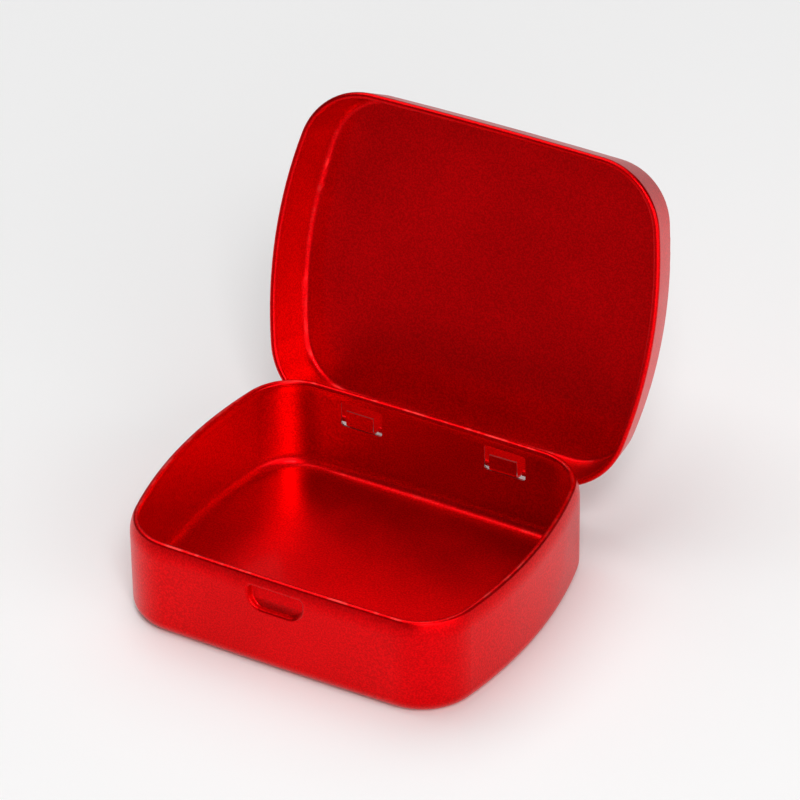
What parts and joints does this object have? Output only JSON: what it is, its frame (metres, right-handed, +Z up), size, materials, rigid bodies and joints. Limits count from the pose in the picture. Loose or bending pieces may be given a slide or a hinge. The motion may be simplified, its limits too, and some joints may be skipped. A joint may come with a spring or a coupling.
{
  "type": "hinged tin box",
  "caption": "Small pocket-size metal tin with rounded corners, standing open: a deep base pan with a thumb recess and a shallow lid hooked into its back wall, both with rolled rims.",
  "frame": {"origin": "centre of the base's flat underside", "axes": "+Z up, out of the open base; -Y towards the front wall with the thumb recess; +X along the hinge line"},
  "size_m": [0.062, 0.0703, 0.0559],
  "materials": {
    "tin_red": "glossy"
  },
  "bodies": {
    "base": {"base": "tin_red"},
    "lid": {"lid": "tin_red"}
  },
  "joints": [
    {"name": "lid_hinge", "type": "hinge", "parent": "base", "child": "lid", "pos_m": [0, 0.02323, 0.01087], "axis": [1, 0, 0], "range_deg": [0, 109.3]}
  ]
}
